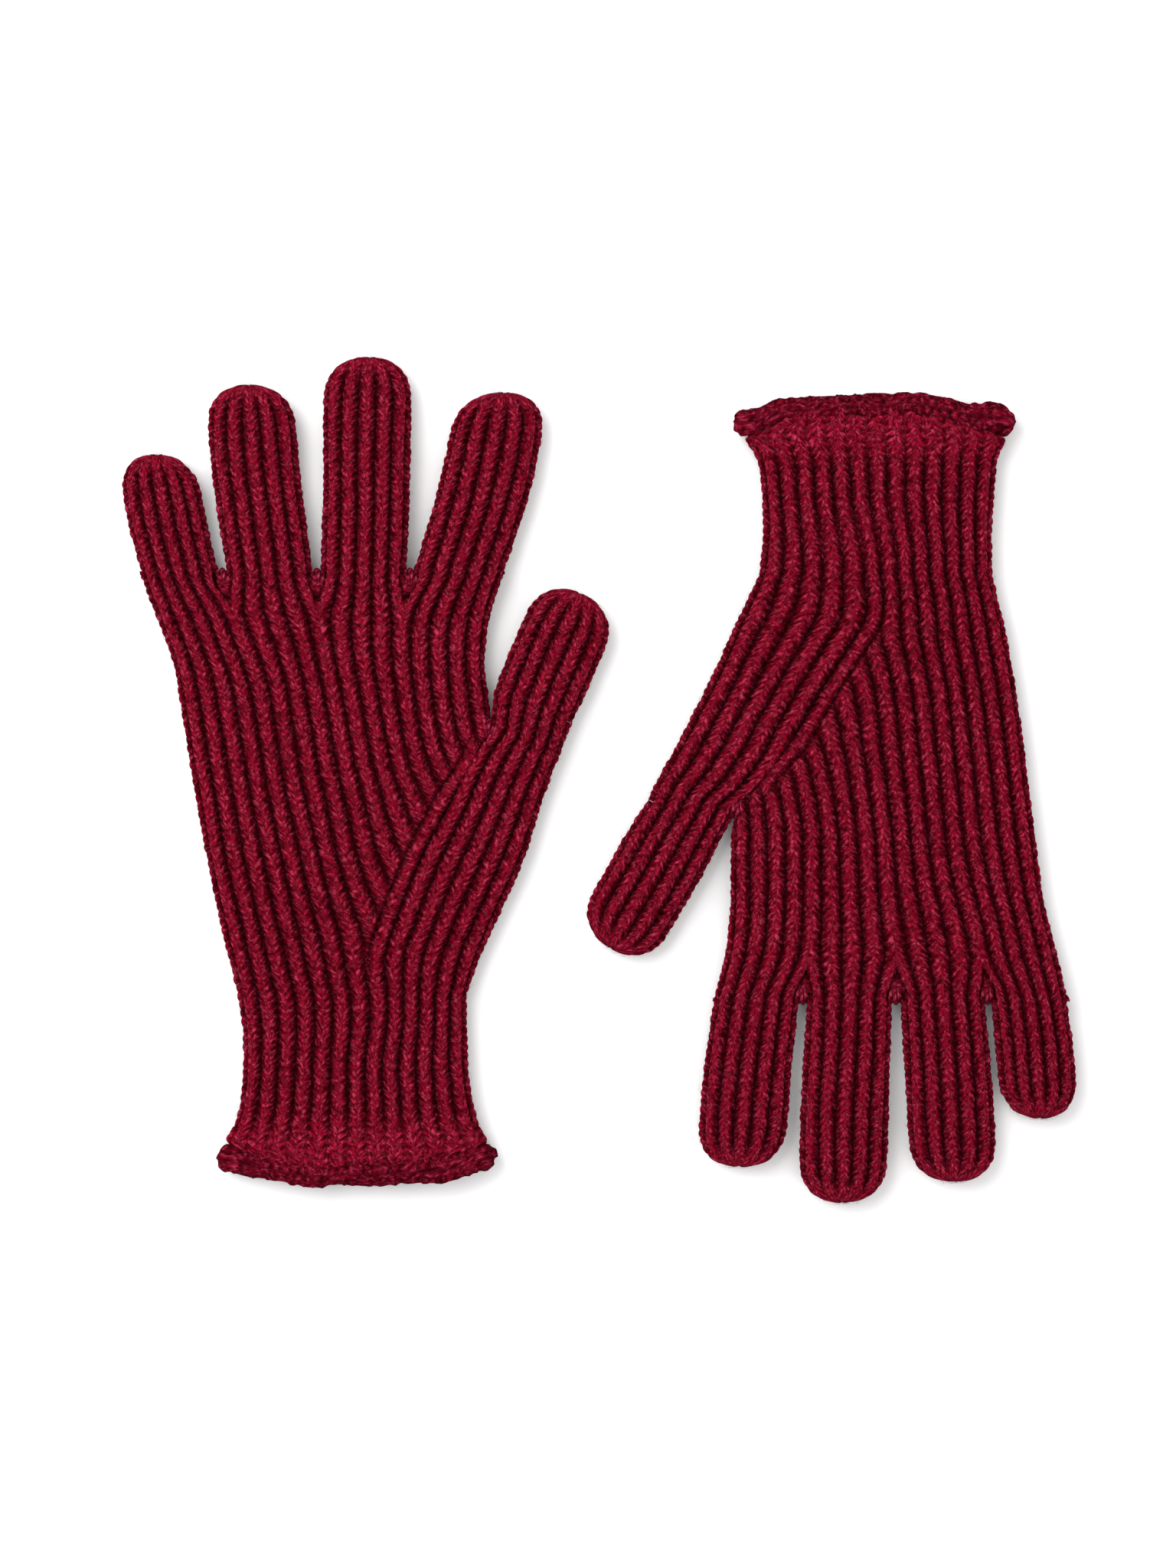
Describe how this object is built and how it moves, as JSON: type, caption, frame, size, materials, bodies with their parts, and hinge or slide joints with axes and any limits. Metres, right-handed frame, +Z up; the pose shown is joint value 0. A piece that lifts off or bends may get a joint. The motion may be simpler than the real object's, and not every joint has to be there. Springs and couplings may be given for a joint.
{
  "type": "pair of ribbed knit gloves",
  "caption": "Pair of ribbed wool knit gloves lying flat, open at rolled cuff edges, with a thumb gusset and fingers that bend at knuckle and middle joint.",
  "frame": {"origin": "centre of the pair's footprint, on the surface that the gloves lie on", "axes": "+X from the left glove to the right glove, +Y towards the left glove's fingertips, +Z up"},
  "size_m": [0.2832, 0.2506, 0.0106],
  "materials": {
    "ribbed_wool": "matte rib-knit wool",
    "rolled_edge": "matte rolled wool edge",
    "joining_yarn": "matte darned yarn"
  },
  "bodies": {
    "left_hand": {"left_hand": "ribbed_wool", "left_thumb_gusset": "ribbed_wool", "left_little_ring_join": "joining_yarn", "left_ring_middle_join": "joining_yarn", "left_middle_index_join": "joining_yarn", "left_thumb_join": "joining_yarn"},
    "left_cuff": {"left_cuff": "ribbed_wool", "left_cuff_edge": "rolled_edge"},
    "left_little_lower": {"left_little_lower": "ribbed_wool"},
    "left_little_upper": {"left_little_upper": "ribbed_wool", "left_little_tip_tie": "joining_yarn"},
    "left_ring_lower": {"left_ring_lower": "ribbed_wool"},
    "left_ring_upper": {"left_ring_upper": "ribbed_wool", "left_ring_tip_tie": "joining_yarn"},
    "left_middle_lower": {"left_middle_lower": "ribbed_wool"},
    "left_middle_upper": {"left_middle_upper": "ribbed_wool", "left_middle_tip_tie": "joining_yarn"},
    "left_index_lower": {"left_index_lower": "ribbed_wool"},
    "left_index_upper": {"left_index_upper": "ribbed_wool", "left_index_tip_tie": "joining_yarn"},
    "left_thumb_lower": {"left_thumb_lower": "ribbed_wool"},
    "left_thumb_upper": {"left_thumb_upper": "ribbed_wool", "left_thumb_tip_tie": "joining_yarn"},
    "right_hand": {"right_hand": "ribbed_wool", "right_thumb_gusset": "ribbed_wool", "right_little_ring_join": "joining_yarn", "right_ring_middle_join": "joining_yarn", "right_middle_index_join": "joining_yarn", "right_thumb_join": "joining_yarn"},
    "right_cuff": {"right_cuff": "ribbed_wool", "right_cuff_edge": "rolled_edge"},
    "right_little_lower": {"right_little_lower": "ribbed_wool"},
    "right_little_upper": {"right_little_upper": "ribbed_wool", "right_little_tip_tie": "joining_yarn"},
    "right_ring_lower": {"right_ring_lower": "ribbed_wool"},
    "right_ring_upper": {"right_ring_upper": "ribbed_wool", "right_ring_tip_tie": "joining_yarn"},
    "right_middle_lower": {"right_middle_lower": "ribbed_wool"},
    "right_middle_upper": {"right_middle_upper": "ribbed_wool", "right_middle_tip_tie": "joining_yarn"},
    "right_index_lower": {"right_index_lower": "ribbed_wool"},
    "right_index_upper": {"right_index_upper": "ribbed_wool", "right_index_tip_tie": "joining_yarn"},
    "right_thumb_lower": {"right_thumb_lower": "ribbed_wool"},
    "right_thumb_upper": {"right_thumb_upper": "ribbed_wool", "right_thumb_tip_tie": "joining_yarn"}
  },
  "joints": [
    {"name": "left_wrist_bend", "type": "hinge", "parent": "left_hand", "child": "left_cuff", "pos_m": [-0.0731, -0.0639, 0.01], "axis": [-1, 0, 0], "range_deg": [0, 60]},
    {"name": "left_little_knuckle", "type": "hinge", "parent": "left_hand", "child": "left_little_lower", "pos_m": [-0.1243, 0.0618, 0.0106], "axis": [1, 0, 0], "range_deg": [0, 75]},
    {"name": "left_little_middle_bend", "type": "hinge", "parent": "left_little_lower", "child": "left_little_upper", "pos_m": [-0.12859, 0.07925, 0.0106], "axis": [1, 0, 0], "range_deg": [0, 85]},
    {"name": "left_ring_knuckle", "type": "hinge", "parent": "left_hand", "child": "left_ring_lower", "pos_m": [-0.0977, 0.0618, 0.0106], "axis": [1, 0, 0], "range_deg": [0, 75]},
    {"name": "left_ring_middle_bend", "type": "hinge", "parent": "left_ring_lower", "child": "left_ring_upper", "pos_m": [-0.10159, 0.08945, 0.0106], "axis": [1, 0, 0], "range_deg": [0, 85]},
    {"name": "left_middle_knuckle", "type": "hinge", "parent": "left_hand", "child": "left_middle_lower", "pos_m": [-0.0699, 0.0618, 0.0106], "axis": [1, 0, 0], "range_deg": [0, 75]},
    {"name": "left_middle_middle_bend", "type": "hinge", "parent": "left_middle_lower", "child": "left_middle_upper", "pos_m": [-0.06896, 0.09365, 0.0106], "axis": [1, 0, 0], "range_deg": [0, 85]},
    {"name": "left_index_knuckle", "type": "hinge", "parent": "left_hand", "child": "left_index_lower", "pos_m": [-0.0417, 0.0618, 0.0106], "axis": [1, 0, 0], "range_deg": [0, 75]},
    {"name": "left_index_middle_bend", "type": "hinge", "parent": "left_index_lower", "child": "left_index_upper", "pos_m": [-0.03352, 0.0884, 0.0106], "axis": [1, 0, 0], "range_deg": [0, 85]},
    {"name": "left_thumb_root_bend", "type": "hinge", "parent": "left_hand", "child": "left_thumb_lower", "pos_m": [-0.0197, 0.0216, 0.0106], "axis": [0.9205, -0.3907, 0], "range_deg": [0, 50]},
    {"name": "left_thumb_middle_bend", "type": "hinge", "parent": "left_thumb_lower", "child": "left_thumb_upper", "pos_m": [-0.01255, 0.03845, 0.0106], "axis": [0.9205, -0.3907, 0], "range_deg": [0, 70]},
    {"name": "right_wrist_bend", "type": "hinge", "parent": "right_hand", "child": "right_cuff", "pos_m": [0.0823, 0.0611, 0.01], "axis": [1, 0, 0], "range_deg": [0, 60]},
    {"name": "right_little_knuckle", "type": "hinge", "parent": "right_hand", "child": "right_little_lower", "pos_m": [0.1273, -0.0657, 0.0106], "axis": [-1, 0, 0], "range_deg": [0, 75]},
    {"name": "right_little_middle_bend", "type": "hinge", "parent": "right_little_lower", "child": "right_little_upper", "pos_m": [0.12924, -0.08315, 0.0106], "axis": [-1, 0, 0], "range_deg": [0, 85]},
    {"name": "right_ring_knuckle", "type": "hinge", "parent": "right_hand", "child": "right_ring_lower", "pos_m": [0.1016, -0.0657, 0.0106], "axis": [-1, 0, 0], "range_deg": [0, 75]},
    {"name": "right_ring_middle_bend", "type": "hinge", "parent": "right_ring_lower", "child": "right_ring_upper", "pos_m": [0.10368, -0.09245, 0.0106], "axis": [-1, 0, 0], "range_deg": [0, 85]},
    {"name": "right_middle_knuckle", "type": "hinge", "parent": "right_hand", "child": "right_middle_lower", "pos_m": [0.0741, -0.0657, 0.0106], "axis": [-1, 0, 0], "range_deg": [0, 75]},
    {"name": "right_middle_middle_bend", "type": "hinge", "parent": "right_middle_lower", "child": "right_middle_upper", "pos_m": [0.07276, -0.0956, 0.0106], "axis": [-1, 0, 0], "range_deg": [0, 85]},
    {"name": "right_index_knuckle", "type": "hinge", "parent": "right_hand", "child": "right_index_lower", "pos_m": [0.0466, -0.0657, 0.0106], "axis": [-1, 0, 0], "range_deg": [0, 75]},
    {"name": "right_index_middle_bend", "type": "hinge", "parent": "right_index_lower", "child": "right_index_upper", "pos_m": [0.04345, -0.0903, 0.0106], "axis": [-1, 0, 0], "range_deg": [0, 85]},
    {"name": "right_thumb_root_bend", "type": "hinge", "parent": "right_hand", "child": "right_thumb_lower", "pos_m": [0.0251, -0.012, 0.0106], "axis": [-0.866, 0.5, 0], "range_deg": [0, 50]},
    {"name": "right_thumb_middle_bend", "type": "hinge", "parent": "right_thumb_lower", "child": "right_thumb_upper", "pos_m": [0.0141, -0.03105, 0.0106], "axis": [-0.866, 0.5, 0], "range_deg": [0, 70]},
    {"name": "right_glove_lift", "type": "slide", "parent": "left_hand", "child": "right_hand", "axis": [0, 0, 1], "range_m": [0, 0.12]}
  ]
}
